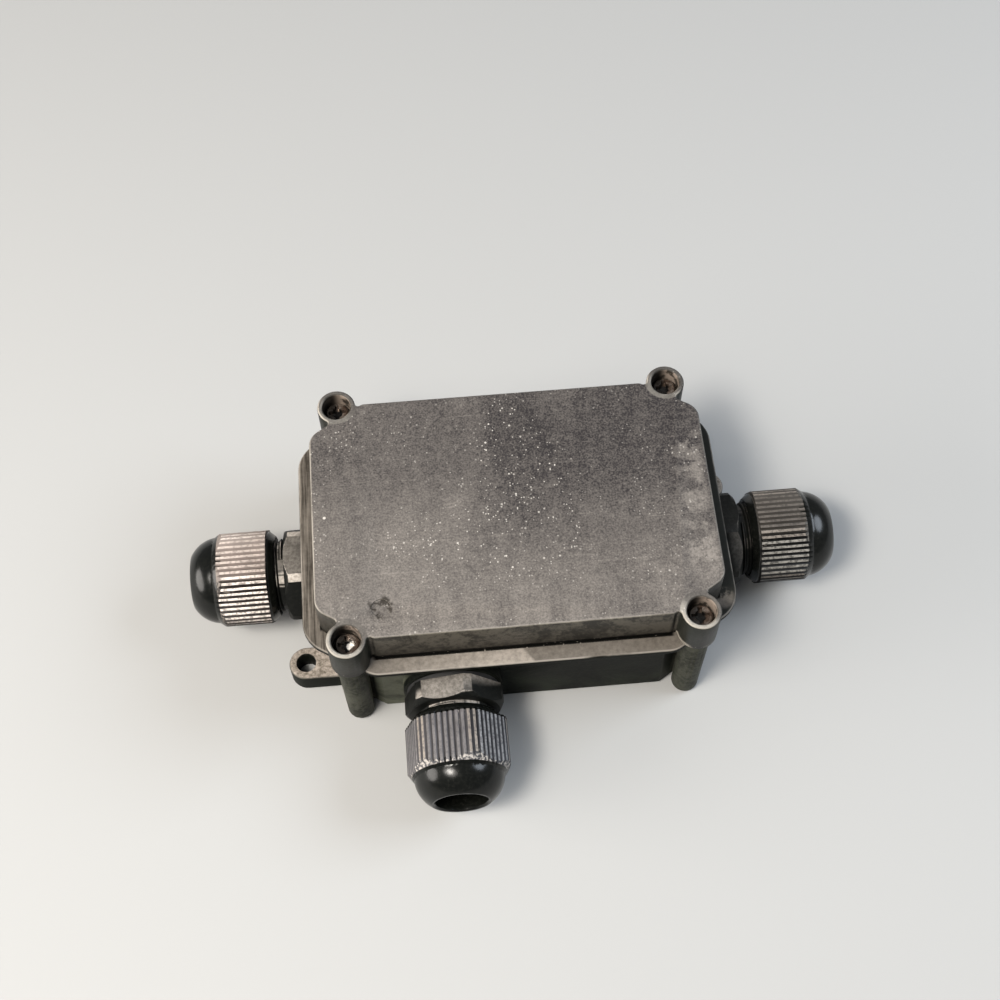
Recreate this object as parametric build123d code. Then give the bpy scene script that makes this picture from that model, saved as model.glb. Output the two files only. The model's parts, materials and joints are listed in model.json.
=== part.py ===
from build123d import *
import os
from math import atan2, cos, degrees, radians, sin, tan

# Waterproof junction box with three cable glands, in millimetres.
# The origin is the centre of the base's underside, where the four screw columns stand.
# X runs along the box, through the two end glands; the third gland leaves at -Y; Z is up.

# Housing plan, set out from the four cover screws
screw_pitch_x = 82.0
screw_pitch_y = 62.6
end_reach = 7.0              # lid end beyond the screw axes
side_reach = 0.3             # lid side beyond the screw axes
corner_slope = 31.8          # degrees between a cut corner and the long side
corner_setback = 3.1         # cut corner to the screw axis
end_corner_radius = 4.5
side_corner_radius = 1.6
least_radius = 0.6

# Heights, above the parting line
lid_height = 12.1
parting_gap = 0.4

# Lid
lid_plate = 2.2
skirt_wall = 2.4
lid_edge_radius = 0.6
boss_diameter = 9.4
boss_blend_radius = 0.8
boss_bore = 7.0
boss_bore_depth = 5.2
boss_seat_cone = 0.3
screw_clearance_hole = 4.2
bore_chamfer = 0.35
tongue_width = 1.1
gate_mark_diameter = 4.6
gate_mark_depth = 0.25
gate_mark_place = (-32.6, -24.2)
lid_rib_height = 1.4
lid_rib_width = 1.2
lid_rib_spacing = 24.0

# Base
wall_step = 0.3              # base wall inside the lid's outline
base_wall = 2.4
floor_thickness = 2.2
bottom_edge_radius = 1.2
rim_thickening = 0.9
rim_depth = 5.0
flange_reach = 4.1
flange_thickness = 2.0
flange_edge_radius = 0.6
groove_inset = 0.9           # from the lid's outline
groove_width = 1.7
groove_depth = 2.0
column_diameter = 7.2
column_foot_diameter = 6.6
foot_radius = 1.6
column_web = 2.6
pilot_depth = 17.0
thread_clearance = 0.05

# Fixing ears, on opposite corners
ear_hole = 5.0
ear_radius = 4.3
ear_thickness = 6.9
ear_reach = 1.9              # hole axis beyond the flange's end
ear_from_side = 14.9         # hole axis to the flange's long side
ear_edge_radius = 0.8

# Gasket
gasket_height = 1.2
gasket_clearance = 0.05

# Cover screws
screw_diameter = 3.4
screw_length = 21.0
screw_head_diameter = 6.3
screw_head_top_diameter = 5.0
screw_head_height = 2.3
screw_head_edge = 1.15
screw_tip = 2.0
drive_width = 1.1
drive_length = 4.3
drive_depth = 1.5
drive_well_diameter = 3.0
drive_well_floor_diameter = 1.6

# Ports and glands
front_port_x = -17.6
port_boss_reach = 3.0
port_boss_margin = 1.0       # beyond the hexagon's flats
port_clearance = 0.2         # around the gland's thread, on the diameter
gland_thread = 18.6
gland_bore = 12.0
hex_shoulder = 1.7           # of the hexagon's flats, beyond the thread
hex_across_flats = gland_thread + 2 * hex_shoulder
hex_corner_rise = 1.1        # of the flats cut on its corners, beyond its own
hex_corner_across = hex_across_flats + 2 * hex_corner_rise
hex_length = 5.3
washer_thickness = 1.0
washer_overhang = 0.2        # beyond the hexagon's flats
washer_diameter = hex_across_flats + 2 * washer_overhang
lock_nut_across_flats = hex_across_flats     # one spanner fits both
lock_nut_thickness = 4.5
lock_nut_over_floor = 2.2    # from the floor up to its lower flat
lock_nut_under_rim = 0.1     # from its upper flat to the thick rim
thread_run_out = 0.8
upper_thread_length = 9.5
socket_diameter = 14.2
socket_shoulder = 9.0        # from the port's face
claw_length = 6.2
claw_tip_wall = 1.4
claw_straight = 1.3
claw_tip_diameter = 14.8
claw_count = 8
claw_slot = 1.0
running_clearance = 0.05     # radial, cap nut on its thread
seal_clearance = 0.3
seal_bore = 9.0
seal_tip_setback = 1.0
port_boss_diameter = hex_across_flats + 2 * port_boss_margin
port_height = floor_thickness + lock_nut_over_floor + lock_nut_across_flats / 2
parting_height = port_height + lock_nut_across_flats / 2 + lock_nut_under_rim + rim_depth

# Cap nut
collar_length = 1.9
collar_cone_length = 1.4
collar_diameter = 22.6
collar_neck_diameter = 20.2
grip_across_flats = 23.3
grip_corner_diameter = 25.0
grip_length = 12.6
grip_end_slope = 34.0        # degrees, of the cone that ends the ribs
grip_end_rise = 0.7
rib_count = 54
rib_crest_share = 0.46
rib_depth = 0.6
dome_diameter = 21.8
dome_length = 6.7
dome_bulge = 1.0
cap_hole = 12.5
cap_lip = 0.8
nut_thread_length = 10.5
nut_cone_length = 8.6
nut_lead_in = 0.5

# Terminal block
pole_count = 3
pole_pitch = 12.0
pole_width = 9.6
pole_length = 18.0
pole_height = 12.6
chimney_diameter = 6.4
chimney_height = 3.0
chimney_spacing = 9.0
chimney_bore = 4.4
clamp_diameter = 5.4
clamp_length = 15.0
clamp_height = 6.4           # axis above the block's foot
clamp_clearance = 0.05
wire_bore = 3.6
web_height = 4.0
web_length = 7.0
block_place = (6.0, 5.0)
post_height = 3.0
post_diameter = 6.4
block_screw_diameter = 2.9
block_screw_length = 7.6
block_screw_head = 5.2
block_screw_head_height = 1.8
block_hole_clearance = 0.3
terminal_screw_diameter = 3.0
terminal_screw_head = 3.9
terminal_screw_head_height = 2.0
terminal_screw_reach = 1.0   # of its tip into the wire bore
terminal_screw_stand = 1.5   # of its head over the clamp
slot_width = 0.7
slot_depth = 0.8

# Places and sizes that follow
screw_x, screw_y = screw_pitch_x / 2, screw_pitch_y / 2
skirt_bottom = parting_height + parting_gap
lid_top = parting_height + lid_height
screw_seat = lid_top - boss_bore_depth
tongue_inset = groove_inset + (groove_width - tongue_width) / 2
gasket_floor = parting_height - groove_depth
gasket_top = gasket_floor + gasket_height
screw_tip_height = screw_seat - screw_length
wall_x = screw_x + end_reach - wall_step
wall_y = screw_y + side_reach - wall_step
flange_x = screw_x + end_reach + flange_reach
flange_y = screw_y + side_reach + flange_reach
ear_x = flange_x + ear_reach
ear_y = flange_y - ear_from_side
hex_face = washer_thickness + hex_length
inner_wall_face = -(port_boss_reach + base_wall)
thread_end = inner_wall_face - lock_nut_thickness - thread_run_out
claw_root = hex_face + upper_thread_length
claw_tip = claw_root + claw_length
dome_start = collar_length + grip_length
nut_length = dome_start + dome_length
block_foot = floor_thickness + post_height
block_length = (pole_count - 1) * pole_pitch + pole_width
corners = [(sx * screw_x, sy * screw_y) for sx in (-1, 1) for sy in (-1, 1)]

# Each gland: where its port's boss face is, which way it points, how its body and nut are
# turned about its axis from upright, and how far the nut stands off the body.
glands = {
    "left": dict(face=(-wall_x - port_boss_reach, 0, port_height), out=(-1, 0, 0),
                 body_turn=-30.0, nut_turn=-28.0, nut_gap=2.4),
    "right": dict(face=(wall_x + port_boss_reach, 0, port_height), out=(1, 0, 0),
                  body_turn=13.0, nut_turn=24.0, nut_gap=2.7),
    "front": dict(face=(front_port_x, -wall_y - port_boss_reach, port_height), out=(0, -1, 0),
                  body_turn=-17.0, nut_turn=-18.0, nut_gap=1.3),
}


def housing_outline(grow):
    """Plan of the housing: a rectangle with its corners cut beside the screws."""
    slope = radians(corner_slope)
    half_x = screw_x + end_reach + grow
    half_y = screw_y + side_reach + grow
    line = sin(slope) * screw_x + cos(slope) * screw_y - corner_setback + grow
    cut_x = (line - cos(slope) * half_y) / sin(slope)
    cut_y = (line - sin(slope) * half_x) / cos(slope)
    points = []
    for sx, sy in ((1, 1), (-1, 1), (-1, -1), (1, -1)):
        pair = [(sx * half_x, sy * cut_y), (sx * cut_x, sy * half_y)]
        points += pair if sx * sy > 0 else pair[::-1]
    plan = make_face(Polyline(*points, close=True))
    ends = plan.vertices().filter_by(lambda v: abs(v.X) > half_x - 0.01)
    plan = fillet(ends, max(end_corner_radius + grow, least_radius))
    sides = [v for v in plan.vertices() if abs(abs(v.X) - cut_x) < 0.01]
    return fillet(sides, max(side_corner_radius + grow, least_radius))


def prism(plan, low, high):
    """The plan extruded from one height to another."""
    return Pos(0, 0, low) * extrude(plan, high - low)


def rod(diameter, low, high):
    """A cylinder on the Z axis between two heights."""
    return Pos(0, 0, low) * Cylinder(diameter / 2, high - low, align=(Align.CENTER, Align.CENTER, Align.MIN))


def turned(*points):
    """A turned part, from radius and height points of its half section."""
    return revolve(Plane.XZ * make_face(Polyline(*points, close=True)), Axis.Z)


def hexagon(across_flats):
    """Hexagon with a corner on the X axis."""
    return RegularPolygon(across_flats / 2, 6, major_radius=False)


def on_port(gland, part, turn=0.0, off=0.0):
    """A gland part, made along Z from the port's face, put in its place."""
    seat = Plane(origin=gland["face"], x_dir=(0, 0, 1), z_dir=gland["out"])
    return seat.location * Pos(0, 0, off) * Rot(0, 0, turn) * part


def at_corners(part):
    """A part repeated on the four cover screws."""
    return [Pos(x, y, 0) * part for x, y in corners]


def column():
    """Screw column of the base, drawn in towards a rounded foot."""
    post = turned((0, 0), (column_foot_diameter / 2, 0),
                  (column_diameter / 2, parting_height), (0, parting_height))
    return fillet(post.edges().sort_by(Axis.Z)[0], foot_radius)


def ear():
    """Fixing ear, on the -X end near the front."""
    tab = Pos(-ear_x, -ear_y, 0) * rod(2 * ear_radius, 0, ear_thickness)
    tab += Pos(-ear_x, -ear_y, 0) * Box(ear_x - wall_x + base_wall, 2 * ear_radius, ear_thickness,
                                        align=(Align.MIN, Align.CENTER, Align.MIN))
    edge = [e for e in tab.edges() if e.center().Z > ear_thickness - 0.01 or e.center().Z < 0.01]
    tip = [e for e in edge if e.center().X < -wall_x - 0.5]
    return fillet(tip, ear_edge_radius)


def base():
    """Lower housing: walls, rim with its gasket groove, columns, ports, ears and block posts."""
    wall = prism(housing_outline(-wall_step), 0, parting_height)
    wall = fillet(wall.faces().sort_by(Axis.Z)[0].edges(), bottom_edge_radius)
    flange = prism(housing_outline(flange_reach), parting_height - flange_thickness, parting_height)
    flange = fillet(flange.edges().filter_by(Axis.Z, reverse=True), flange_edge_radius)
    body = wall + flange + at_corners(column())
    for x, y in corners:
        inward = degrees(atan2(-y / screw_y * cos(radians(corner_slope)),
                               -x / screw_x * sin(radians(corner_slope))))
        body += (Pos(x, y, foot_radius) * Rot(0, 0, inward)
                 * Box(corner_setback + base_wall, column_web, parting_height - foot_radius,
                       align=(Align.MIN, Align.CENTER, Align.MIN)))
    for gland in glands.values():
        body += on_port(gland, rod(port_boss_diameter, inner_wall_face, 0))
    body += ear()
    body += Rot(0, 0, 180) * ear()

    rim_inset = wall_step + base_wall + rim_thickening
    cavity = prism(housing_outline(-wall_step - base_wall), floor_thickness, parting_height - rim_depth)
    mouth = prism(housing_outline(-rim_inset), floor_thickness, parting_height)
    body -= cavity + mouth
    groove = (housing_outline(-groove_inset)
              - housing_outline(-groove_inset - groove_width))
    body -= prism(groove, gasket_floor, parting_height)
    for gland in glands.values():
        body -= on_port(gland, rod(gland_thread + port_clearance, inner_wall_face, 0))
    pilot = rod(screw_diameter + 2 * thread_clearance, parting_height - pilot_depth, parting_height)
    body -= at_corners(pilot)
    for turn in (0, 180):
        body -= Rot(0, 0, turn) * Pos(-ear_x, -ear_y, 0) * rod(ear_hole, 0, ear_thickness)
    for x, y in block_fixings():
        body += Pos(x, y, 0) * rod(post_diameter, floor_thickness / 2, block_foot)
        hole = rod(block_screw_diameter + 2 * thread_clearance, floor_thickness / 2, block_foot)
        body -= Pos(x, y, 0) * hole
    return body


def lid():
    """Cover: plate, skirt and four screw bosses in one moulding, with a tongue for the gasket."""
    plan = housing_outline(0) + [Pos(x, y) * Circle(boss_diameter / 2) for x, y in corners]
    reach = boss_diameter / 2 + 0.01
    blends = [v for v in plan.vertices()
              if min((v.X - x) ** 2 + (v.Y - y) ** 2 for x, y in corners) < reach ** 2]
    plan = fillet(blends, boss_blend_radius)
    body = prism(plan, skirt_bottom, lid_top)
    body = fillet(body.faces().sort_by(Axis.Z)[-1].outer_wire().edges(), lid_edge_radius)
    body -= prism(housing_outline(-skirt_wall), skirt_bottom, lid_top - lid_plate)
    tongue = housing_outline(-tongue_inset) - housing_outline(-tongue_inset - tongue_width)
    body += prism(tongue, gasket_top, skirt_bottom)
    rib_span = 2 * (screw_y + side_reach - skirt_wall)
    for x in (-lid_rib_spacing, 0, lid_rib_spacing):
        body += Pos(x, 0, lid_top - lid_plate) * Box(lid_rib_width, rib_span, lid_rib_height,
                                                     align=(Align.CENTER, Align.CENTER, Align.MAX))
    bore = turned((0, lid_top), (boss_bore / 2 + bore_chamfer, lid_top),
                  (boss_bore / 2, lid_top - bore_chamfer),
                  (boss_bore / 2, screw_seat + boss_seat_cone),
                  (boss_bore / 2 - boss_seat_cone, screw_seat),
                  (screw_clearance_hole / 2, screw_seat), (screw_clearance_hole / 2, skirt_bottom),
                  (0, skirt_bottom))
    body -= at_corners(bore)
    x, y = gate_mark_place
    return body - Pos(x, y, 0) * rod(gate_mark_diameter, lid_top - gate_mark_depth, lid_top)


def lid_gasket():
    """Square rubber ring lying in the rim's groove."""
    inset = groove_inset + gasket_clearance
    ring = housing_outline(-inset) - housing_outline(-inset - groove_width + 2 * gasket_clearance)
    return prism(ring, gasket_floor, gasket_top)


def cover_screw():
    """Pan head screw, with its head on the seat in a lid boss."""
    head = screw_head_diameter / 2
    shank = screw_diameter / 2
    top = screw_seat + screw_head_height
    screw = turned((0, screw_tip_height), (shank, screw_tip_height + screw_tip), (shank, screw_seat),
                   (head, screw_seat), (head, screw_seat + screw_head_edge),
                   (screw_head_top_diameter / 2, top), (0, top))
    well = turned((0, top - drive_depth), (drive_well_floor_diameter / 2, top - drive_depth),
                  (drive_well_diameter / 2, top), (0, top))
    for turn in (0, 90):
        well += Pos(0, 0, top) * Rot(0, 0, turn) * Box(drive_length, drive_width, drive_depth,
                                                       align=(Align.CENTER, Align.CENTER, Align.MAX))
    return screw - well


def gland_body():
    """Gland body: wall thread, hexagon, nut thread and a ring of claws round the seal's socket."""
    flats = hexagon(hex_across_flats) & (Rot(0, 0, 30) * hexagon(hex_corner_across))
    thread = gland_thread / 2
    flat = hex_across_flats / 2
    chamfer = turned((0, washer_thickness), (flat + hex_length, washer_thickness), (flat, hex_face),
                     (0, hex_face))
    body = prism(flats, washer_thickness, hex_face) & chamfer
    body += turned((0, thread_end), (thread, thread_end), (thread, claw_root),
                   (thread - seal_clearance, claw_root), (thread - seal_clearance, claw_root + claw_straight),
                   (claw_tip_diameter / 2, claw_tip), (0, claw_tip))
    socket = socket_diameter / 2
    tip = claw_tip_diameter / 2 - claw_tip_wall
    body -= turned((0, thread_end), (gland_bore / 2, thread_end), (gland_bore / 2, socket_shoulder),
                   (socket, socket_shoulder), (socket, claw_root + claw_straight),
                   (tip, claw_tip), (0, claw_tip))
    slot = Pos(0, 0, claw_root + claw_slot) * Box(gland_thread, claw_slot, claw_length,
                                                 align=(Align.CENTER, Align.CENTER, Align.MIN))
    for k in range(claw_count // 2):
        body -= Rot(0, 0, 360 * k / claw_count) * slot
    return body


def washer():
    """Flat rubber washer under the hexagon."""
    return rod(washer_diameter, 0, washer_thickness) - rod(gland_thread + port_clearance, 0, washer_thickness)


def lock_nut():
    """Hexagon nut on the gland's thread, inside the wall."""
    high = inner_wall_face
    low = high - lock_nut_thickness
    return (Rot(0, 0, 30) * prism(hexagon(lock_nut_across_flats), low, high)
            - rod(gland_thread + 2 * running_clearance, low, high))


def seal():
    """Rubber bush in the claws; it grips the cable when the cap nut is tightened."""
    outer = socket_diameter / 2 - seal_clearance
    foot = socket_shoulder + seal_clearance
    tip = claw_tip - seal_tip_setback
    bend = claw_root + claw_straight
    socket_tip = claw_tip_diameter / 2 - claw_tip_wall
    narrowing = (socket_diameter / 2 - socket_tip) * (tip - bend) / (claw_tip - bend)
    return turned((seal_bore / 2, foot), (outer, foot), (outer, bend - seal_clearance),
                  (outer - narrowing, tip), (seal_bore / 2, tip))


def grip_section():
    """Section of the nut's grip: a rounded hexagon with a groove between each two ribs."""
    flat = grip_across_flats / 2
    corner = grip_corner_diameter / 2
    rounding = (flat / cos(radians(30)) - corner) / (1 / cos(radians(30)) - 1)
    crest = fillet(hexagon(grip_across_flats).vertices(), rounding).face().outer_wire()
    groove = rib_crest_share + (1 - rib_crest_share) / 2
    points = []
    for rib in range(rib_count):
        for share, depth in ((0, 0), (rib_crest_share, 0), (groove, rib_depth)):
            point = crest @ ((rib + share) / rib_count)
            points.append(point * (1 - depth / point.length))
    return make_face(Polyline(*points, close=True))


def cap_nut():
    """Cap nut: round collar, ribbed grip and a smooth dome down to the cable hole."""
    neck, collar = collar_neck_diameter / 2, collar_diameter / 2
    dome = dome_diameter / 2
    lip = cap_hole / 2 + cap_lip
    chord = Vector(lip - dome, dome_length)
    middle = Vector(dome, dome_start) + chord / 2 + Vector(chord.Y, -chord.X).normalized() * dome_bulge
    outline = [
        Polyline((0, 0), (neck, 0)),
        Line((neck, 0), (collar, collar_cone_length)),
        Polyline((collar, collar_cone_length), (collar, collar_length), (dome, collar_length),
                 (dome, dome_start)),
        ThreePointArc((dome, dome_start), (middle.X, middle.Y), (lip, nut_length)),
        Polyline((lip, nut_length), (0, nut_length), (0, 0)),
    ]
    core = revolve(Plane.XZ * make_face(Curve() + outline), Axis.Z)
    grip_top = dome_start + grip_end_rise
    spread = grip_top * tan(radians(grip_end_slope))
    cone_foot = dome + spread
    limit = turned((0, 0), (cone_foot, 0), (dome, grip_top), (0, grip_top))
    grip = prism(grip_section(), collar_length, grip_top) & limit
    thread = gland_thread / 2 + running_clearance
    cone_top = nut_thread_length + nut_cone_length
    inside = turned((0, 0), (thread + nut_lead_in, 0), (thread, nut_lead_in), (thread, nut_thread_length),
                    (cap_hole / 2, cone_top), (cap_hole / 2, nut_length - cap_lip / 2),
                    (cap_hole / 2 + cap_lip / 2, nut_length), (0, nut_length))
    return core + grip - inside


def pole_places():
    """Centres of the terminal block's poles along Y."""
    return [(k - (pole_count - 1) / 2) * pole_pitch for k in range(pole_count)]


def block_fixings():
    """Places of the terminal block's two fixing screws, in the webs between its poles."""
    x, y = block_place
    return [(x, y + (a + b) / 2) for a, b in zip(pole_places(), pole_places()[1:])]


def terminal_places():
    """Axes of the terminal screws, two to a pole."""
    x, y = block_place
    return [(x + sx * chimney_spacing / 2, y + pole) for pole in pole_places() for sx in (-1, 1)]


def terminal_block():
    """Moulded terminal strip: a pole for each conductor, with a chimney over each screw."""
    x, y = block_place
    low = (Align.CENTER, Align.CENTER, Align.MIN)
    strip = Pos(x, y, block_foot) * Box(web_length, block_length, web_height, align=low)
    for pole in pole_places():
        strip += Pos(x, y + pole, block_foot) * Box(pole_length, pole_width, pole_height, align=low)
    for tx, ty in terminal_places():
        strip += Pos(tx, ty, block_foot) * rod(chimney_diameter, 0, pole_height + chimney_height)
    for tx, ty in terminal_places():
        strip -= Pos(tx, ty, block_foot) * rod(chimney_bore, clamp_height, pole_height + chimney_height)
    for pole in pole_places():
        tunnel = Rot(0, 90, 0) * rod(clamp_diameter + 2 * clamp_clearance, -pole_length / 2, pole_length / 2)
        strip -= Pos(x, y + pole, block_foot + clamp_height) * tunnel
    for fx, fy in block_fixings():
        strip -= Pos(fx, fy, block_foot) * rod(block_screw_diameter + block_hole_clearance, 0, web_height)
        strip -= Pos(fx, fy, block_foot) * rod(block_screw_head + block_hole_clearance, web_height,
                                               pole_height)
    return strip


def terminal_clamps():
    """Brass sleeves that the wires go into, one to a pole."""
    x, y = block_place
    sleeves = []
    for pole in pole_places():
        sleeve = Rot(0, 90, 0) * (rod(clamp_diameter, -clamp_length / 2, clamp_length / 2)
                                  - rod(wire_bore, -clamp_length / 2, clamp_length / 2))
        for sx in (-1, 1):
            hole = rod(terminal_screw_diameter + 2 * thread_clearance, 0, clamp_diameter)
            sleeve -= Pos(sx * chimney_spacing / 2, 0, 0) * hole
        sleeves.append(Pos(x, y + pole, block_foot + clamp_height) * sleeve)
    return sleeves


def terminal_screws():
    """Slotted screws that press on the wires."""
    low = block_foot + clamp_height + wire_bore / 2 - terminal_screw_reach
    seat = block_foot + clamp_height + clamp_diameter / 2 + terminal_screw_stand
    top = seat + terminal_screw_head_height
    screw = rod(terminal_screw_diameter, low, seat) + rod(terminal_screw_head, seat, top)
    screw -= Pos(0, 0, top) * Box(terminal_screw_head, slot_width, slot_depth,
                                  align=(Align.CENTER, Align.CENTER, Align.MAX))
    return [Pos(x, y, 0) * screw for x, y in terminal_places()]


def block_screws():
    """Two screws that hold the terminal block on the base's posts."""
    seat = block_foot + web_height
    top = seat + block_screw_head_height
    screw = rod(block_screw_diameter, seat - block_screw_length, seat) + rod(block_screw_head, seat, top)
    screw -= Pos(0, 0, top) * Box(block_screw_head, slot_width, slot_depth,
                                  align=(Align.CENTER, Align.CENTER, Align.MAX))
    return [Pos(x, y, 0) * screw for x, y in block_fixings()]


def save(name, part):
    """Write one node's STEP file."""
    if isinstance(part, list):
        part = Compound(children=part)
    export_step(part, f"parts/{name}.step")


os.makedirs("parts", exist_ok=True)
save("base", base())
save("lid", lid())
save("lid_gasket", lid_gasket())
save("cover_screws", at_corners(cover_screw()))
nut = cap_nut()
for side, gland in glands.items():
    save(f"gland_body_{side}", on_port(gland, gland_body(), gland["body_turn"]))
    save(f"washer_{side}", on_port(gland, washer()))
    save(f"lock_nut_{side}", on_port(gland, lock_nut()))
    save(f"seal_{side}", on_port(gland, seal()))
    save(f"cap_nut_{side}", on_port(gland, nut, gland["nut_turn"], hex_face + gland["nut_gap"]))
save("terminal_block", terminal_block())
save("terminal_clamps", terminal_clamps())
save("terminal_screws", terminal_screws())
save("block_screws", block_screws())
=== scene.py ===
import bmesh
import bpy
import json
from math import copysign, cos, pi, radians, sin
from mathutils import Matrix, Vector

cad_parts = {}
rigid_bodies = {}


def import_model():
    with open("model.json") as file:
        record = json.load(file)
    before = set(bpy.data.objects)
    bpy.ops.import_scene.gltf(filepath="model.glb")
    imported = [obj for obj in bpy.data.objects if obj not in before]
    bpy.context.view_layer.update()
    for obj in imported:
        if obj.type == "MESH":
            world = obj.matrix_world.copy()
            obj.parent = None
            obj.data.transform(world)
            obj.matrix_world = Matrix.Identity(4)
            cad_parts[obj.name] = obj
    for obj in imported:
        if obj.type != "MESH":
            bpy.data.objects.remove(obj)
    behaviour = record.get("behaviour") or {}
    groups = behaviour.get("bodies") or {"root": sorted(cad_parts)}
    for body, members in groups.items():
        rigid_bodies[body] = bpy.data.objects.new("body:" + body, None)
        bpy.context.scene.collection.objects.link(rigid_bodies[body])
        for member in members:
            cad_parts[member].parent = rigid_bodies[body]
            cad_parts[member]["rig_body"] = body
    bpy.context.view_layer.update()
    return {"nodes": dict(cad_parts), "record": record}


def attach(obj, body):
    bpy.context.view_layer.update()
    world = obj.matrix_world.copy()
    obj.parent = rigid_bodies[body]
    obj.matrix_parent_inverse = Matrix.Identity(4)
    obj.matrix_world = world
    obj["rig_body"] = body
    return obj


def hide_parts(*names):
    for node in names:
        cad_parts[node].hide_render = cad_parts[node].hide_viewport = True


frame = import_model()
nodes = frame["nodes"]

# Places and sizes shared with the solids, in metres
PORT_HEIGHT = 0.0154
PORTS = {
    "left": (Vector((-0.0507, 0, PORT_HEIGHT)), Vector((-1, 0, 0))),
    "right": (Vector((0.0507, 0, PORT_HEIGHT)), Vector((1, 0, 0))),
    "front": (Vector((-0.0176, -0.0343, PORT_HEIGHT)), Vector((0, -1, 0))),
}
SCREW_X, SCREW_Y = 0.041, 0.0313
BORE_REACH = 0.0036
COLUMN_REACH = 0.0041
BOSS_REACH = 0.00505
GATE_MARK = (-0.0326, -0.0242)
SKIRT_HALF_LENGTH, SKIRT_HALF_WIDTH = 0.04795, 0.03195
SKIRT_FOOT = 0.0331
LEDGE_HEIGHT = 0.02975
RIM_EDGE = 0.0292
EAR_ROOT = 0.0462
THREAD_RADIUS = 0.0093
THREAD_DEPTH = 0.00065
THREAD_PITCH = 0.00141
HEX_FACE = 0.0063
CLAW_ROOT = 0.0158
GRIP_FLAT = 0.01165
GRIP_CORNER = 0.0125
NUT_TURNS = {"left": -28.0, "right": 24.0, "front": -18.0}
GRIPS = {"left": (0.0106, 0.0228), "right": (0.0106, 0.0228), "front": (0.0100, 0.0221)}
UP = Vector((0, 0, 1))


def on_port(side):
    """Places what is made along Z, from the port's face outwards."""
    face, out = PORTS[side]
    return Matrix.Translation(face) @ Matrix((UP, out.cross(UP), out)).transposed().to_4x4()


# Materials

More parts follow.
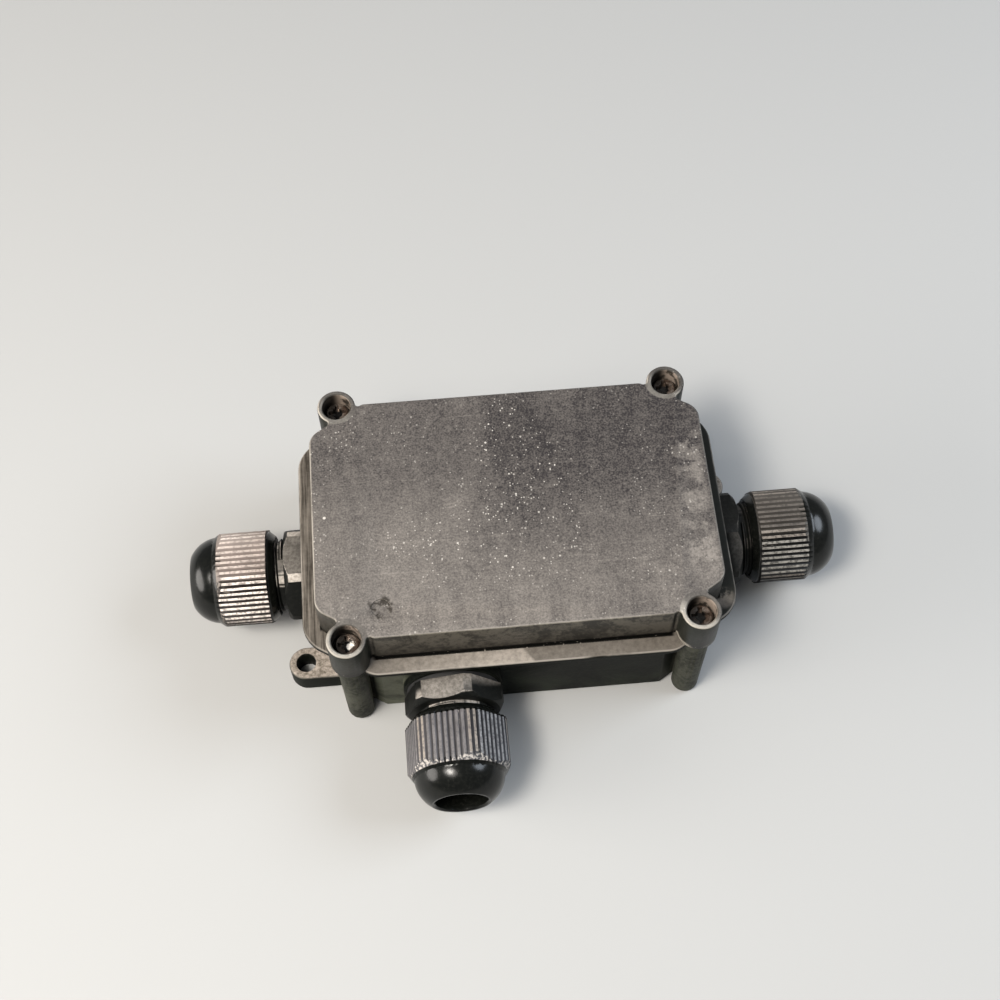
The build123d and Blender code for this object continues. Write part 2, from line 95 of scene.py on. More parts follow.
class Finish:
    """A node material, built up one node at a time."""

    def __init__(self, name):
        self.material = bpy.data.materials.new(name)
        self.material.use_nodes = True
        self.tree = self.material.node_tree
        self.tree.nodes.clear()
        coords = self.add("ShaderNodeTexCoord")
        self.surface = self.add("ShaderNodeBsdfPrincipled")
        output = self.add("ShaderNodeOutputMaterial")
        self.link(self.surface.outputs["BSDF"], output.inputs["Surface"])
        self.place = coords.outputs["Object"]
        self.facing = coords.outputs["Normal"]

    def add(self, kind, **settings):
        node = self.tree.nodes.new(kind)
        for key, value in settings.items():
            setattr(node, key, value)
        return node

    def link(self, source, target):
        self.tree.links.new(source, target)

    def feed(self, socket, value):
        """Links a socket, or sets a plain value on one."""
        if isinstance(value, bpy.types.NodeSocket):
            self.link(value, socket)
        else:
            socket.default_value = value

    def set(self, **values):
        """Settings of the surface; underscores stand for spaces."""
        for key, value in values.items():
            self.feed(self.surface.inputs[key.replace("_", " ")], value)

    # Patterns

    def noise(self, scale, detail=4.0, roughness=0.6, distortion=0.0, place=None):
        node = self.add("ShaderNodeTexNoise")
        self.link(place or self.place, node.inputs["Vector"])
        for key, value in (("Scale", scale), ("Detail", detail), ("Roughness", roughness),
                           ("Distortion", distortion)):
            node.inputs[key].default_value = value
        return node.outputs["Fac"]

    def specks(self, scale, size, share):
        """Small round spots, kept in only a share of the cells."""
        node = self.add("ShaderNodeTexVoronoi", feature="F1")
        self.link(self.place, node.inputs["Vector"])
        node.inputs["Scale"].default_value = scale
        spot = self.range(node.outputs["Distance"], size * 0.5, size, 1.0, 0.0)
        kept = self.range(self.axis("X", node.outputs["Color"]), 1 - share, 1 - share + 0.02)
        return self.times(spot, kept)

    def shifted(self, offset=(0, 0, 0), scale=(1, 1, 1), turn=(0, 0, 0), place=None):
        """The pattern's coordinates, stretched, turned and moved."""
        node = self.add("ShaderNodeMapping")
        self.link(place or self.place, node.inputs["Vector"])
        node.inputs["Location"].default_value = offset
        node.inputs["Rotation"].default_value = turn
        node.inputs["Scale"].default_value = scale
        return node.outputs["Vector"]

    def plan(self):
        """The place as seen from above, with no height."""
        return self.shifted(scale=(1, 1, 0))

    def blob(self, x, y, radius, soft):
        """A soft round patch, seen from above."""
        return self.inside(self.distance((x, y, 0), self.plan()), radius, soft)

    # Numbers

    def range(self, value, low, high, start=0.0, end=1.0, smooth=True):
        """value, taken from low..high to start..end."""
        node = self.add("ShaderNodeMapRange")
        node.interpolation_type = "SMOOTHSTEP" if smooth else "LINEAR"
        self.feed(node.inputs["Value"], value)
        for key, limit in (("From Min", low), ("From Max", high), ("To Min", start), ("To Max", end)):
            node.inputs[key].default_value = limit
        return node.outputs["Result"]

    def sway(self, value, low, high, start, end):
        """value, taken from low..high to start..end in a straight line."""
        return self.range(value, low, high, start, end, smooth=False)

    def inside(self, value, limit, soft):
        """1 below the limit and 0 above it."""
        return self.range(value, limit + soft, limit - soft)

    def beyond(self, value, limit, soft):
        """1 above the limit and 0 below it."""
        return self.range(value, limit - soft, limit + soft)

    def math(self, operation, a, b=0.0):
        node = self.add("ShaderNodeMath", operation=operation)
        self.feed(node.inputs[0], a)
        self.feed(node.inputs[1], b)
        return node.outputs["Value"]

    def fold(self, operation, values):
        result = values[0]
        for value in values[1:]:
            result = self.math(operation, result, value)
        return result

    def times(self, *values):
        return self.fold("MULTIPLY", values)

    def plus(self, *values):
        return self.fold("ADD", values)

    def most(self, *values):
        return self.fold("MAXIMUM", values)

    def least(self, *values):
        return self.fold("MINIMUM", values)

    def less(self, a, b):
        return self.math("SUBTRACT", a, b)

    def size(self, value):
        return self.math("ABSOLUTE", value)

    # Directions

    def axis(self, name, vector=None):
        node = self.add("ShaderNodeSeparateXYZ")
        self.link(vector or self.place, node.inputs["Vector"])
        return node.outputs[name]

    def distance(self, point, place):
        """Distance of a place from a point."""
        node = self.add("ShaderNodeVectorMath", operation="DISTANCE")
        self.link(place, node.inputs[0])
        node.inputs[1].default_value = point
        return node.outputs["Value"]

    def along(self, vector, direction):
        """How far a vector goes in a direction."""
        node = self.add("ShaderNodeVectorMath", operation="DOT_PRODUCT")
        self.link(vector, node.inputs[0])
        self.feed(node.inputs[1], direction)
        return node.outputs["Value"]

    def from_screws(self):
        """On the plan, the distance from the nearest cover screw, how far in front and left of it, and
        how far to its right."""
        plan = self.plan()
        sign = self.add("ShaderNodeVectorMath", operation="SIGN")
        self.link(plan, sign.inputs[0])
        screw = self.shifted(scale=(SCREW_X, SCREW_Y, 0), place=sign.outputs["Vector"])
        away = self.add("ShaderNodeVectorMath", operation="SUBTRACT")
        self.link(plan, away.inputs[0])
        self.link(screw, away.inputs[1])
        offset = away.outputs["Vector"]
        forward = self.along(offset, (-0.6, -0.8, 0))
        return self.distance((0, 0, 0), offset), forward, self.axis("X", offset)

    def round_a_line(self, point, axis):
        """How squarely the surface faces away from a line, 1 on a crest and less on a groove's
        sides, how far it is from the line, and which way."""
        keep = tuple(0 if abs(a) > 0.5 else 1 for a in axis)
        across = self.shifted(offset=tuple(-p * k for p, k in zip(point, keep)), scale=keep)
        unit = self.add("ShaderNodeVectorMath", operation="NORMALIZE")
        self.link(across, unit.inputs[0])
        squareness = self.along(unit.outputs["Vector"], self.facing)
        return squareness, self.distance((0, 0, 0), across), across

    # Layers

    def mix(self, factor, a, b):
        """Colour a, covered by colour b as far as the factor says."""
        node = self.add("ShaderNodeMix", data_type="RGBA")
        self.feed(node.inputs[0], factor)
        for socket, value in ((node.inputs[6], a), (node.inputs[7], b)):
            self.feed(socket, value if isinstance(value, bpy.types.NodeSocket) else (*value, 1.0))
        return node.outputs[2]

    def bumps(self, *layers):
        """Layers of (height, strength, distance in metres), the broadest first."""
        below = None
        for height, strength, distance in layers:
            node = self.add("ShaderNodeBump")
            node.inputs["Strength"].default_value = strength
            node.inputs["Distance"].default_value = distance
            self.link(height, node.inputs["Height"])
            if below is not None:
                self.link(below, node.inputs["Normal"])
            below = node.outputs["Normal"]
        self.link(below, self.surface.inputs["Normal"])


# The lid

def lid_sides(f, stain, grit):
    """What doesn't face up: blotched skirt with its ends painted darker as painted shade, dark bosses,
    rusty bores painted dark on their left side as painted shade, and the gap under the skirt painted almost
    black as painted shade, with pale specks of dust.
    """
    x, z = f.axis("X"), f.axis("Z")
    sideways = f.axis("X", f.facing)
    from_screw, _, rightward = f.from_screws()
    boss = f.inside(from_screw, BOSS_REACH, 0.00015)

    blotches = f.range(f.plus(f.times(stain, 0.6), f.times(grit, 0.4)), 0.42, 0.58)
    side = f.mix(blotches, (0.0238, 0.0217, 0.0175), (0.0924, 0.0826, 0.0658))
    # The skirt's ends painted darker than its front and back, the right end most: painted shade.
    end_shade = f.plus(f.range(sideways, 0.15, 0.5, 0.0, 0.85), f.range(sideways, -0.15, -0.5, 0.0, 0.55))
    side = f.mix(end_shade, side, (0.0119, 0.0126, 0.0119))
    side = f.mix(f.times(boss, 0.85), side, (0.0098, 0.0112, 0.0084))

    rust = f.range(f.plus(f.times(stain, 0.4), f.times(f.noise(420.0, 3.0), 0.6)), 0.44, 0.56)
    bore = f.mix(rust, (0.030, 0.025, 0.020), (0.240, 0.195, 0.160))
    shadow = f.range(rightward, 0.0016, -0.0010, 0.0, 0.93)
    bore = f.mix(shadow, bore, (0.0050, 0.0042, 0.0035))
    side = f.mix(f.inside(from_screw, BORE_REACH, 0.0001), side, bore)

    # The gap under the skirt painted almost black: painted shade, with pale specks of dust.
    gap_shade_and_specks = f.mix(f.specks(1500.0, 0.34, 0.16), (0.0028, 0.0028, 0.0021), (0.238, 0.21, 0.175))
    # The feet of the right-hand bosses pale in patches.
    pale_foot = f.times(boss, f.range(x, 0.0, 0.01), f.range(stain, 0.40, 0.55))
    gap_shade_and_specks = f.mix(pale_foot, gap_shade_and_specks, (0.294, 0.266, 0.224))
    return f.mix(f.inside(z, SKIRT_FOOT, 0.0002), side, gap_shade_and_specks)


def wiped_band(f):
    """A band across the lid that a cloth has passed over, with wavy edges."""
    x, y = f.axis("X"), f.axis("Y")
    wave = f.sway(f.noise(45.0, 3.0, 0.5), 0.0, 1.0, -0.0016, 0.0016)
    left_edge = f.beyond(f.plus(x, f.times(y, -0.21), wave), -0.0093, 0.0005)
    right_edge = f.inside(f.plus(x, f.times(y, 0.285), wave), 0.0151, 0.0005)
    return f.times(left_edge, right_edge, f.range(y, -0.022, 0.002))


def lid_dust_and_light(f, fine, grit, mottle, cloud, wiped):
    """How thick the dust lies on the lid's top, together with painted light: the level rises to the front
    and left and sinks at the right and behind.
    """
    x, y = f.axis("X"), f.axis("Y")
    # Painted light: the top lighter to the front and left, where the light falls, and darker at the right
    # and behind.
    leftness = f.sway(x, -0.040, 0.020, 0.15, -0.03)
    frontness = f.range(y, 0.020, -0.026, -0.06, 0.42)
    rightness = f.times(f.range(x, -0.010, 0.022, 0.0, -0.14), f.range(y, -0.024, -0.010))
    level = f.plus(leftness, frontness, rightness, f.sway(cloud, 0.25, 0.75, -0.08, 0.28))
    level = f.less(level, f.times(wiped, 0.12))

    streak = f.noise(1.0, 3.0, place=f.shifted(scale=(260.0, 16.0, 1.0), turn=(0, 0, 0.05)))
    near_front = f.range(y, -0.016, -0.030)
    level = f.plus(level, f.times(near_front, f.sway(streak, 0.35, 0.65, -0.18, 0.22)))

    patchy = f.range(f.noise(210.0, 5.0, 0.7), 0.42, 0.60)
    haze = f.plus(f.times(f.blob(-0.012, 0.001, 0.006, 0.004), 0.22),
                  f.times(f.blob(-0.009, -0.014, 0.005, 0.004), 0.22),
                  f.times(f.blob(0.0355, -0.019, 0.006, 0.005), 0.30))
    right_band = f.times(f.range(x, 0.0375, 0.0435), f.range(x, 0.0480, 0.0455),
                         f.range(y, 0.021, 0.014), f.range(y, -0.026, -0.017))
    level = f.plus(level, f.times(haze, patchy), f.times(right_band, patchy, 0.95))

    scratches = f.noise(1.0, 2.0, 0.5, 0.6, f.shifted(scale=(38.0, 900.0, 1.0), turn=(0, 0, 0.55)))
    smears = f.noise(1.0, 3.0, 0.6, 0.8, f.shifted(scale=(170.0, 40.0, 1.0), turn=(0, 0, 0.12)))
    return f.plus(level, f.times(f.range(scratches, 0.60, 0.72), 0.22),
                  f.sway(smears, 0.35, 0.65, -0.09, 0.09),
                  f.sway(fine, 0.30, 0.70, -0.40, 0.40),
                  f.sway(grit, 0.32, 0.68, -0.12, 0.12),
                  f.sway(mottle, 0.35, 0.65, -0.11, 0.11))


def lid_marks(f, film, grit, mottle, boss, forward, wiped):
    """The film of dust with the gate's mark, the rims of the bosses with painted light and shade, pale
    spots and a chip.
    """
    ragged = f.sway(f.noise(420.0, 3.0), 0.2, 0.8, -0.0014, 0.0014)
    reach = f.plus(f.distance((*GATE_MARK, 0), f.plan()), ragged)
    ring = f.times(f.range(reach, 0.0030, 0.0020), f.range(reach, 0.0004, 0.0015))
    film = f.mix(f.times(ring, f.range(mottle, 0.42, 0.54, 0.15, 0.95)), film, (0.028, 0.0238, 0.0196))

    # Boss tops painted lighter on their front-left side and on the front bosses, darker behind: painted
    # light and shade.
    boss_light_side = f.range(forward, -0.0012, 0.0022)
    film = f.mix(f.times(boss, f.less(1.0, boss_light_side), 0.5), film, (0.0735, 0.0679, 0.0602))
    lit_boss_rim = f.mix(f.range(f.axis("Y"), -0.02, 0.02), (0.28, 0.262, 0.231), (0.14, 0.13, 0.115))
    film = f.mix(f.times(boss, boss_light_side, f.range(grit, 0.35, 0.6, 0.6, 1.0)), film, lit_boss_rim)

    crowd = f.plus(f.range(f.noise(70.0, 3.0), 0.42, 0.62), f.times(wiped, 0.8),
                   f.times(f.blob(-0.010, -0.013, 0.010, 0.006), 0.9))
    spots = f.times(crowd, f.most(f.specks(800.0, 0.27, 0.16), f.specks(1700.0, 0.38, 0.14)))
    chip = f.blob(-0.0449, 0.0004, 0.00035, 0.0001)
    return f.mix(f.most(f.times(spots, 0.62), chip), film, (0.462, 0.434, 0.392))


def lid_wear_and_edge_light(f, height, boss, forward):
    """How far the rounded edges are pale: rubbed wear, with painted highlight that is stronger on edges
    facing front and left and on the front-left side of the boss rims.
    """
    rubbed = f.range(f.noise(90.0), 0.30, 0.60, 0.35, 1.0)
    # Painted highlight: edges facing front and left are made paler.
    toward_light = f.plus(f.range(f.axis("Y", f.facing), 0.25, -0.25, 0.08, 0.36),
                    f.range(f.axis("X", f.facing), -0.25, -0.6, 0.0, 0.5))
    worn = f.times(f.range(height, 0.35, 0.60), f.range(height, 0.97, 0.90), rubbed, toward_light)
    # Boss rims: painted highlight on the front-left side, less behind.
    boss_edge_light = f.times(boss, f.range(forward, -0.001, 0.002, -0.95, 0.9))
    return f.least(f.times(worn, f.plus(1.0, boss_edge_light)), 0.95)


def lid_finish():
    """The cover: a grey brown film of dust on what faces up, wiped, streaked and speckled, with painted
    light that makes it lighter at the front and left, painted highlight on its front and left edges and
    painted shade on its sides and in the gap.
    """
    f = Finish("dusty_cover_painted_light")
    height = f.axis("Z", f.facing)
    up = f.range(height, 0.55, 0.95)
    fine = f.noise(2300.0, 2.0)
    grit = f.noise(1000.0, 3.0, 0.7)
    mottle = f.noise(300.0, 4.0, 0.65, 0.3)
    stain = f.noise(110.0, 5.0, 0.7, 0.5)
    cloud = f.noise(34.0, 5.0, 0.62, 0.4)
    from_screw, forward, _ = f.from_screws()
    boss = f.inside(from_screw, BOSS_REACH, 0.00015)
    wiped = wiped_band(f)

    # Colours of the film; its pale end shows thick dust and also painted light, since the level carries a
    # painted light falloff.
    wiped_clean = (0.0245, 0.0217, 0.0224)
    caked_and_lit = (0.265, 0.239, 0.212)
    dust = lid_dust_and_light(f, fine, grit, mottle, cloud, wiped)
    film = f.mix(f.sway(dust, -0.4, 2.0, 0.0, 1.0), wiped_clean, caked_and_lit)
    film = lid_marks(f, film, grit, mottle, boss, forward, wiped)
    colour = f.mix(up, lid_sides(f, stain, grit), film)
    # Pale rounded edges: rubbed wear with painted highlight.
    f.set(Base_Color=f.mix(lid_wear_and_edge_light(f, height, boss, forward), colour, (0.35, 0.322, 0.28)),
          Roughness=f.range(up, 0.0, 1.0, 0.42, 0.56), Specular_IOR_Level=0.14)
    f.bumps((cloud, 0.12, 0.0004), (grit, 0.30, 0.00012))
    return f.material


# The base

def base_walls(f, fine):
    """Greenish black plastic, greyed low down, beside the front gland and on the columns."""
    x, y, z = f.axis("X"), f.axis("Y"), f.axis("Z")
    stain = f.noise(90.0, 5.0, 0.65, 0.6)
    wall = f.mix(f.range(fine, 0.35, 0.7), (0.0031, 0.0038, 0.0029), (0.0080, 0.0091, 0.0066))
    low = f.range(z, 0.003, 0.020, 1.0, 0.0)
    wall = f.mix(f.times(low, f.range(stain, 0.38, 0.7)), wall, (0.0182, 0.0217, 0.0147))
    beside_gland = f.times(f.range(x, -0.026, -0.030), f.range(y, -0.0330, -0.0325),
                           f.range(y, -0.0298, -0.0303), f.range(stain, 0.35, 0.6, 0.2, 1.0))
    wall = f.mix(beside_gland, wall, (0.106, 0.111, 0.082))
    from_screw, _, _ = f.from_screws()
    mottle = f.range(f.plus(f.times(stain, 0.5), f.times(fine, 0.5)), 0.38, 0.62, 0.25, 1.05)
    column = f.times(f.inside(from_screw, COLUMN_REACH, 0.0002), mottle)
    wall = f.mix(column, wall, (0.0574, 0.0581, 0.0448))
    ear = f.times(f.beyond(f.size(x), EAR_ROOT + 0.0004, 0.0004), f.range(z, 0.0078, 0.0068))
    return f.mix(ear, wall, (0.0070, 0.0084, 0.0063))


def rim_ledge(f):
    """The ledge round the lid: pale in front, darker right of a slanting line, painted dark at its right
    end as painted shade of the lid, and painted almost black in the seam by the skirt as painted shade,
    with pale specks of dust.
    """
    x, y = f.axis("X"), f.axis("Y")
    length, width = f.size(x), f.size(y)
    # The ledge right of a slanting line is darkened.
    darkened_part = f.beyond(f.plus(x, f.times(y, 0.70)), -0.0227, 0.0005)
    level = f.times(f.sway(x, -0.047, -0.006, 0.22, 0.95), f.less(1.0, f.times(darkened_part, 0.62)))
    level = f.times(level, f.sway(f.noise(700.0, 3.0, 0.7), 0.3, 0.7, 0.60, 1.22))
    lines = f.noise(1.0, 3.0, place=f.shifted(scale=(1500.0, 60.0, 1.0)))
    level = f.plus(level, f.times(f.sway(lines, 0.35, 0.65, -0.25, 0.30), f.range(x, -0.043, -0.046)))
    ledge = f.mix(level, (0.042, 0.0364, 0.0301), (0.28, 0.248, 0.213))

    patch = f.times(f.blob(0.0487, -0.0232, 0.0025, 0.0008), f.range(f.noise(260.0), 0.34, 0.46))
    # The right end of the ledge painted dark: painted shade of the lid, broken by a pale patch of dust.
    right_end_shade = f.times(f.range(x, 0.0450, 0.0462), f.less(1.0, patch))
    ledge = f.mix(f.times(right_end_shade, 0.92), ledge, (0.0112, 0.0126, 0.0112))

    by_skirt = f.times(f.inside(width, SKIRT_HALF_WIDTH, 0.00015),
                       f.inside(length, SKIRT_HALF_LENGTH, 0.00015))
    off_corner = f.most(f.inside(length, 0.0355, 0.0005), f.inside(width, 0.0233, 0.0005))
    # The seam by the skirt painted almost black: painted shade, with pale specks of dust.
    seam = f.mix(f.specks(1500.0, 0.34, 0.14), (0.0035, 0.0035, 0.0028), (0.21, 0.185, 0.154))
    return f.mix(f.times(by_skirt, off_corner), ledge, seam)


def base_finish():
    """The base: bare walls, with dust lying on the rim's ledge and the ears, and painted shade on the
    ledge.
    """
    f = Finish("dusty_base_painted_shade")
    height = f.axis("Z", f.facing)
    up = f.range(height, 0.5, 0.9)
    fine = f.noise(1000.0, 3.0, 0.7)
    cloud = f.noise(50.0, 4.0, 0.6, 0.4)
    z = f.axis("Z")
    wall = base_walls(f, fine)

    on_ear = f.times(f.range(z, 0.0100, 0.0085), f.beyond(f.size(f.axis("X")), EAR_ROOT, 0.0002))
    ear_dust = f.mix(f.range(fine, 0.3, 0.7), (0.105, 0.0896, 0.07), (0.322, 0.28, 0.241))
    film = f.mix(f.beyond(z, LEDGE_HEIGHT, 0.00025), f.mix(on_ear, wall, ear_dust), rim_ledge(f))

    ear_edge = f.times(f.range(z, 0.0075, 0.0070), f.range(z, 0.0050, 0.0055))
    worn = f.times(f.range(height, 0.15, 0.5), f.range(height, 0.98, 0.8), f.range(cloud, 0.3, 0.6),
                   f.most(f.beyond(z, RIM_EDGE, 0.0002), ear_edge))
    f.set(Base_Color=f.mix(f.times(worn, 0.7), f.mix(up, wall, film), (0.308, 0.28, 0.245)),
          Roughness=f.range(up, 0.0, 1.0, 0.5, 0.6), Specular_IOR_Level=0.05)
    f.bumps((cloud, 0.15, 0.0004), (fine, 0.3, 0.0001))
    return f.material


# The glands and the small pieces

def black_nylon(f, fine):
    return f.mix(f.range(fine, 0.4, 0.75), (0.0035, 0.0039, 0.0033), (0.0084, 0.0087, 0.0073))


def gland_nylon(side, flat, corner):
    """Black nylon of a gland's body, with dust and painted light on the hexagon's upper flat and on its cut
    corners: the amounts are set per gland for how the light falls, pale on the left, nearly none on the
    right.
    """
    f = Finish(f"{side}_gland_nylon")
    fine = f.noise(1300.0, 3.0, 0.65)
    cloud = f.noise(160.0)
    height = f.axis("Z", f.facing)
    on_flat = f.times(f.range(height, 0.90, 0.97), f.range(cloud, 0.25, 0.7, 0.6, 1.0), flat)
    on_corner = f.times(f.range(height, 0.70, 0.78), f.range(height, 0.93, 0.88), corner)
    # Pale dust colour; on the cut corners it also stands in for a painted highlight.
    dust = f.mix(f.range(fine, 0.3, 0.7), (0.336, 0.301, 0.262), (0.63, 0.574, 0.514))
    f.set(Base_Color=f.mix(f.plus(on_flat, on_corner), black_nylon(f, fine), dust), Roughness=0.5,
          Specular_IOR_Level=0.14)
    f.bumps((cloud, 0.06, 0.0003), (fine, 0.10, 0.00008))
    return f.material


def nut_nylon(side, top_groove, top_crest, front_groove, front_crest, corner_crest, pale_rib_ends):
    """A cap nut: a glossy dome and collar, and a grip whose ribs carry dust and painted light. The ribs
    that face up and those that face the front have colours of their own, and so have those on a corner:
    pale crests as painted reflection, dark groove floors as painted shade, set per nut for how the light
    falls on it."""
    f = Finish(f"{side}_nut_nylon")
    fine = f.noise(1300.0, 3.0, 0.65)
    cloud = f.noise(160.0)
    face, out = PORTS[side]
    start, end = GRIPS[side]
    squareness, radius, across = f.round_a_line(face, out)
    outward = f.along(f.shifted(offset=-face), out)
    grip = f.times(f.beyond(outward, start, 0.0001), f.inside(outward, end, 0.0001))

    level = out.cross(UP)
    turn = radians(NUT_TURNS[side])
    past_corner = (level * cos(turn) - UP * sin(turn)) * copysign(1, turn)
    turned = f.beyond(f.along(across, past_corner), 0.0, 0.0002)
    flats = [f.size(f.along(across, UP * cos(a) + level * sin(a)))
             for a in (turn + radians(30 + 60 * k) for k in range(3))]
    depth = f.least(f.less(GRIP_FLAT, f.most(*flats)), f.less(GRIP_CORNER, radius))
    on_crest = f.times(f.range(squareness, 0.85, 0.97), f.range(depth, 0.00042, 0.00015))
    on_corner = f.beyond(radius, GRIP_CORNER - 0.00011, 0.00005)
    on_end = f.times(f.range(squareness, 0.74, 0.80), f.range(squareness, 0.90, 0.86),
                     f.range(radius, 0.01125, 0.01135))

    # Groove and crest colours per facing: painted shade in the grooves and painted reflection on the
    # crests, over dust.
    groove = f.mix(turned, top_groove, front_groove)
    crest = f.mix(on_corner, f.mix(turned, top_crest, front_crest), corner_crest)
    rib = f.mix(on_crest, groove, crest)
    # The rib ends pale, as given per nut.
    rib = f.mix(f.times(on_end, f.range(fine, 0.44, 0.60)), rib, pale_rib_ends)
    rib = f.mix(f.range(fine, 0.58, 0.34, 0.0, 0.7), rib, groove)

    upward = f.range(f.axis("Z", f.facing), -0.35, 0.45)
    cone = f.times(f.range(squareness, 0.92, 0.88), f.range(radius, 0.01140, 0.01130),
                   f.range(outward, end - 0.0014, end - 0.0010))
    cover = f.times(grip, upward, f.range(cloud, 0.25, 0.7, 0.75, 1.0), f.less(1.0, cone))
    f.set(Base_Color=f.mix(cover, black_nylon(f, fine), rib), Roughness=f.range(cover, 0.0, 0.5, 0.20, 0.5),
          Specular_IOR_Level=0.24)
    f.bumps((cloud, 0.05, 0.0003), (fine, 0.10, 0.00008))
    return f.material


def plain_finish(name, colour, roughness, metallic=0.0, dirt=(0.028, 0.0245, 0.021), share=0.3):
    """Grain, wear and a little dirt over one colour."""
    f = Finish(name)
    grain = f.noise(800.0, 3.0)
    stain = f.noise(180.0, 4.0, 0.6, 0.4)
    worn = tuple(min(1.0, c * 1.35 + 0.006) for c in colour)
    grained = f.mix(f.range(grain, 0.35, 0.75), colour, worn)
    f.set(Base_Color=f.mix(f.times(f.range(stain, 0.45, 0.75), share), grained, dirt),
          Roughness=f.range(grain, 0.3, 0.7, roughness, roughness + 0.14), Metallic=metallic)
    f.bumps((grain, 0.15, 0.0001))
    return f.material


def screw_finish():
    """Zinc plated steel gone brown, painted dark on its left side and almost black in the recess as painted
    shade, with one painted glint.
    """
    f = Finish("dulled_screw")
    grain = f.noise(900.0, 3.0)
    stain = f.noise(320.0, 4.0, 0.6, 0.5)
    from_screw, _, rightward = f.from_screws()
    metal = f.mix(f.range(grain, 0.3, 0.7), (0.182, 0.143, 0.115), (0.434, 0.371, 0.322))
    rusty = f.mix(f.range(stain, 0.34, 0.56), metal, (0.049, 0.0301, 0.0196))
    shaded = f.mix(f.range(rightward, 0.0006, -0.0008, 0.0, 0.9), rusty, (0.0120, 0.0098, 0.0077))
    # The recess and the head's middle painted almost black: painted shade.
    recess_shade = f.mix(f.range(from_screw, 0.00150, 0.00115), shaded, (0.0049, 0.0042, 0.0035))
    # A small bright spot on one screw: painted glint.
    painted_glint = f.times(f.blob(0.0007 - SCREW_X, -SCREW_Y, 0.0009, 0.0002), f.range(grain, 0.3, 0.45))
    f.set(Base_Color=f.mix(painted_glint, recess_shade, (0.85, 0.82, 0.77)),
          Roughness=f.range(stain, 0.3, 0.7, 0.24, 0.5), Metallic=f.range(stain, 0.35, 0.65, 0.8, 0.2))
    f.bumps((stain, 0.2, 0.0002), (grain, 0.2, 0.0001))
    return f.material


lid_plastic = lid_finish()
base_plastic = base_finish()
# How much pale each gland's hexagon takes is set per gland by how the light falls: painted light on the
# left and front, painted shade on the right.
gland_blacks = {
    "left": gland_nylon("left", flat=0.27, corner=0.80),
    "right": gland_nylon("right", flat=0.02, corner=0.10),
    "front": gland_nylon("front", flat=0.36, corner=0.50),
}
# Per nut the rib colours follow how the light falls: almost white crests on the left as painted reflection,
# almost black front grooves as painted shade.
nut_blacks = {
    "left": nut_nylon("left", top_groove=(0.200, 0.165, 0.148), top_crest=(0.560, 0.480, 0.430),
                      front_groove=(0.020, 0.016, 0.014), front_crest=(0.98, 0.88, 0.81),
                      corner_crest=(0.80, 0.71, 0.645), pale_rib_ends=(0.22, 0.19, 0.165)),
    "right": nut_nylon("right", top_groove=(0.045, 0.040, 0.035), top_crest=(0.125, 0.110, 0.096),
                       front_groove=(0.003, 0.003, 0.003), front_crest=(0.290, 0.276, 0.250),
                       corner_crest=(0.230, 0.200, 0.172), pale_rib_ends=(0.120, 0.110, 0.095)),
    "front": nut_nylon("front", top_groove=(0.078, 0.075, 0.079), top_crest=(0.146, 0.138, 0.138),
                       front_groove=(0.0315, 0.0336, 0.0392), front_crest=(0.255, 0.255, 0.262),
                       corner_crest=(0.270, 0.236, 0.204), pale_rib_ends=(0.448, 0.413, 0.378)),
}
rubber = plain_finish("soft_rubber", (0.0070, 0.0070, 0.0070), 0.6)
steel = screw_finish()
brass = plain_finish("turned_brass", (0.434, 0.294, 0.119), 0.28, 1.0, (0.14, 0.077, 0.028), 0.4)
terminal = plain_finish("terminal_white", (0.434, 0.413, 0.35), 0.45, 0.0, (0.231, 0.203, 0.154), 0.35)


# Pieces

def new_piece(name, bm, material, body):
    mesh = bpy.data.meshes.new(name)
    bm.to_mesh(mesh)
    bm.free()
    mesh.materials.append(material)
    for face in mesh.polygons:
        face.use_smooth = True
    piece = bpy.data.objects.new(name, mesh)
    bpy.context.scene.collection.objects.link(piece)
    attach(piece, body)
    return piece


def round_edges(piece, edge, segments=2, limit=24.0):
    bevel = piece.modifiers.new("rounded edges", "BEVEL")
    bevel.width = edge
    bevel.segments = segments
    bevel.limit_method = "ANGLE"
    bevel.angle_limit = radians(limit)
    bevel.harden_normals = True


def merged_copy(node_name):
    """A node's own mesh, with its triangles joined into flat faces."""
    bm = bmesh.new()
    bm.from_mesh(nodes[node_name].data)
    bmesh.ops.remove_doubles(bm, verts=bm.verts, dist=1e-6)
    bmesh.ops.dissolve_limit(bm, angle_limit=radians(0.6), verts=bm.verts, edges=bm.edges, delimit=set())
    return bm


def softened(node_name, edge, material, segments=2, limit=24.0):
    """A node's own shape with its edges rounded, in place of the node."""
    piece = new_piece(f"{node_name}_moulding", merged_copy(node_name), material,
                      nodes[node_name]["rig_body"])
    round_edges(piece, edge, segments, limit)
    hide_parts(node_name)


def turn_down_neck(bm, root):
    """Turns the neck between the hexagon and the claws down to the root of its thread."""
    end_slack, radius_slack = 0.00001, 0.00004
    for vert in bm.verts:
        reach = vert.co.xy.length
        on_neck = HEX_FACE - end_slack < vert.co.z < CLAW_ROOT + end_slack
        if on_neck and abs(reach - THREAD_RADIUS) < radius_slack:
            vert.co.x *= root / reach
            vert.co.y *= root / reach


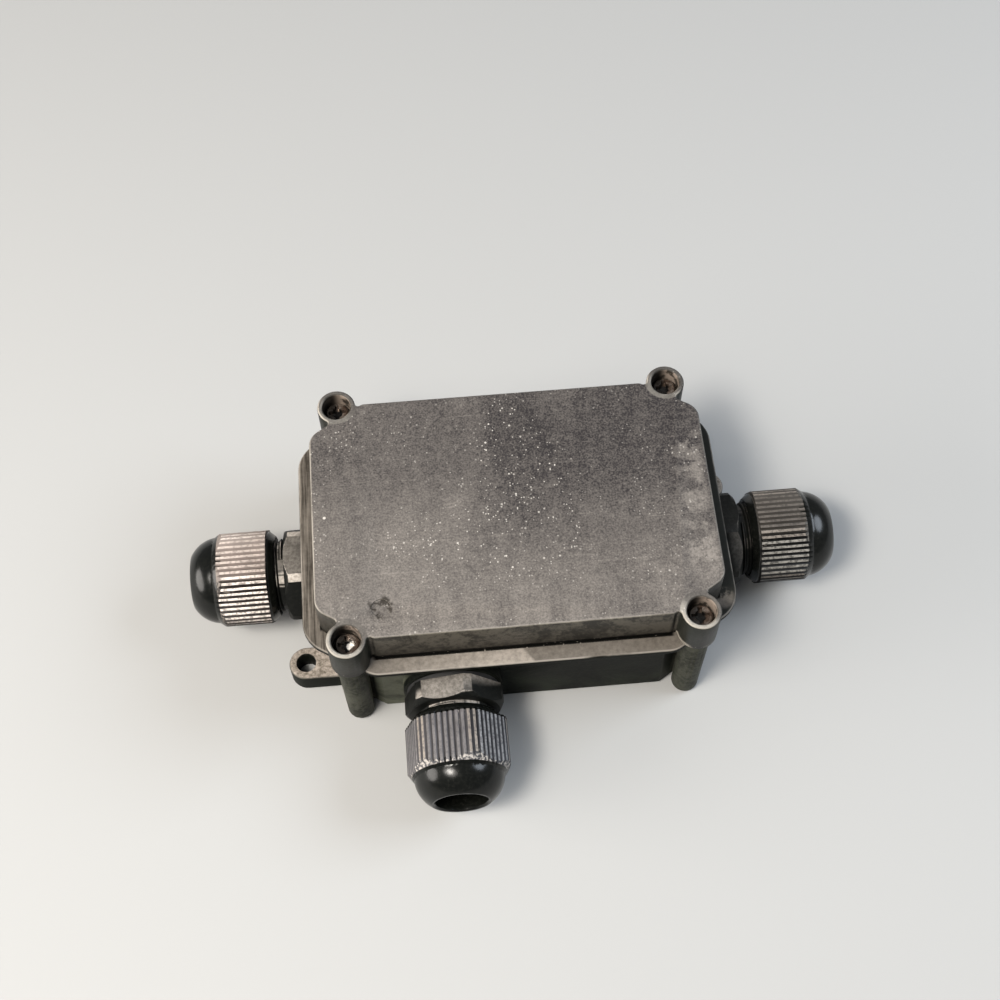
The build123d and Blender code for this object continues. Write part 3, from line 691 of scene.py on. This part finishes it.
def wound_thread(root):
    """The thread of the neck, wound along Z from the hexagon's face."""
    steps_a_turn = 40
    turns = (CLAW_ROOT - HEX_FACE) / THREAD_PITCH - 0.9
    start = HEX_FACE + 0.0001
    crest = THREAD_RADIUS - 0.00004
    foot = root - 0.0002
    bm = bmesh.new()
    profile = [(foot, 0.0), (crest, 0.42), (crest, 0.58), (foot, 1.0)]
    ring = [bm.verts.new((r, 0, start + share * THREAD_PITCH)) for r, share in profile]
    edges = [bm.edges.new((a, b)) for a, b in zip(ring, ring[1:])]
    bmesh.ops.spin(bm, geom=ring + edges, cent=(0, 0, 0), axis=(0, 0, 1),
                   dvec=(0, 0, THREAD_PITCH / steps_a_turn), angle=2 * pi * turns,
                   steps=round(steps_a_turn * turns), use_merge=False, use_duplicate=False)
    bmesh.ops.recalc_face_normals(bm, faces=bm.faces)
    return bm


def gland_body(side):
    """Gland body with a real thread on its neck."""
    name = f"gland_body_{side}"
    place = on_port(side)
    root = THREAD_RADIUS - THREAD_DEPTH
    bm = merged_copy(name)
    bm.transform(place.inverted())
    turn_down_neck(bm, root)
    bm.transform(place)
    piece = new_piece(f"{name}_moulding", bm, gland_blacks[side], "housing")
    round_edges(piece, 0.00022)
    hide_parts(name)

    bm = wound_thread(root)
    bm.transform(place)
    thread = new_piece(f"nut_thread_{side}", bm, gland_blacks[side], "housing")
    round_edges(thread, 0.00006, 1)


softened("lid", 0.00018, lid_plastic)
softened("base", 0.00018, base_plastic)
for side in PORTS:
    gland_body(side)
    softened(f"cap_nut_{side}", 0.00009, nut_blacks[side], 2, 20.0)
softened("cover_screws", 0.00008, steel, 2, 30.0)
finishes = {"housing": base_plastic, "gland": gland_blacks["front"], "rubber": rubber, "screw_steel": steel,
            "brass": brass, "terminal": terminal}
for part in frame["record"]["subparts"]:
    node = nodes[part["node"]]
    node.data.materials.clear()
    node.data.materials.append(finishes[part["material_slot"]])


# Floor, light and camera

CAMERA_PLACE = (-0.015641, -0.173634, 0.369938)
CAMERA_AZIMUTH, CAMERA_ELEVATION, CAMERA_ROLL = -4.1788, 61.7104, -0.8323
CAMERA_LENS = 55.81
LAMP_TARGET = Vector((0, 0, 0.02))


def seen_from(azimuth, elevation):
    """The way to a viewpoint, in degrees; azimuth 0 is at -Y and 90 at +X."""
    a, e = radians(azimuth), radians(elevation)
    return Vector((sin(a) * cos(e), -cos(a) * cos(e), sin(e)))


def floor():
    paint = Finish("pale_floor")
    paint.set(Base_Color=(0.36, 0.36, 0.353, 1.0), Roughness=0.7)
    bm = bmesh.new()
    bmesh.ops.create_grid(bm, x_segments=1, y_segments=1, size=3.0)
    mesh = bpy.data.meshes.new("floor")
    bm.to_mesh(mesh)
    bm.free()
    mesh.materials.append(paint.material)
    plane = bpy.data.objects.new("floor", mesh)
    bpy.context.scene.collection.objects.link(plane)


def soft_light(name, azimuth, elevation, distance, size, power, colour):
    """An area light that looks at the middle of the box."""
    light = bpy.data.lights.new(name, "AREA")
    light.shape = "ELLIPSE"
    light.size, light.size_y = size
    light.energy = power
    light.color = colour
    lamp = bpy.data.objects.new(name, light)
    back = seen_from(azimuth, elevation)
    lamp.location = back * distance + LAMP_TARGET
    lamp.rotation_mode = "QUATERNION"
    lamp.rotation_quaternion = (-back).to_track_quat("-Z", "Y")
    bpy.context.scene.collection.objects.link(lamp)


def sky():
    world = bpy.data.worlds.new("studio")
    world.use_nodes = True
    background = world.node_tree.nodes["Background"]
    background.inputs["Color"].default_value = (0.9, 0.93, 1.0, 1.0)
    background.inputs["Strength"].default_value = 0.23
    bpy.context.scene.world = world


def camera():
    data = bpy.data.cameras.new("camera")
    data.sensor_width = 36.0
    data.lens = CAMERA_LENS
    data.clip_start = 0.01
    eye = bpy.data.objects.new("camera", data)
    azimuth, roll = radians(CAMERA_AZIMUTH), radians(CAMERA_ROLL)
    back = seen_from(CAMERA_AZIMUTH, CAMERA_ELEVATION)
    right = Vector((cos(azimuth), sin(azimuth), 0))
    up = back.cross(right)
    right, up = right * cos(roll) + up * sin(roll), up * cos(roll) - right * sin(roll)
    turn = Matrix((right, up, back)).transposed().to_4x4()
    eye.matrix_world = Matrix.Translation(CAMERA_PLACE) @ turn
    bpy.context.scene.collection.objects.link(eye)
    bpy.context.scene.camera = eye


floor()
soft_light("key", -50, 59, 0.9, (0.62, 0.40), 4.6, (1.0, 0.95, 0.88))
soft_light("key_core", -50, 59, 0.85, (0.26, 0.17), 6.2, (1.0, 0.95, 0.88))
soft_light("left_fill", -84, 17, 0.9, (0.70, 0.45), 8.0, (1.0, 0.95, 0.90))
soft_light("cool_fill", 93, 40, 0.9, (0.55, 0.45), 6.6, (0.82, 0.90, 1.0))
sky()
bpy.context.scene.view_settings.view_transform = "Standard"
camera()
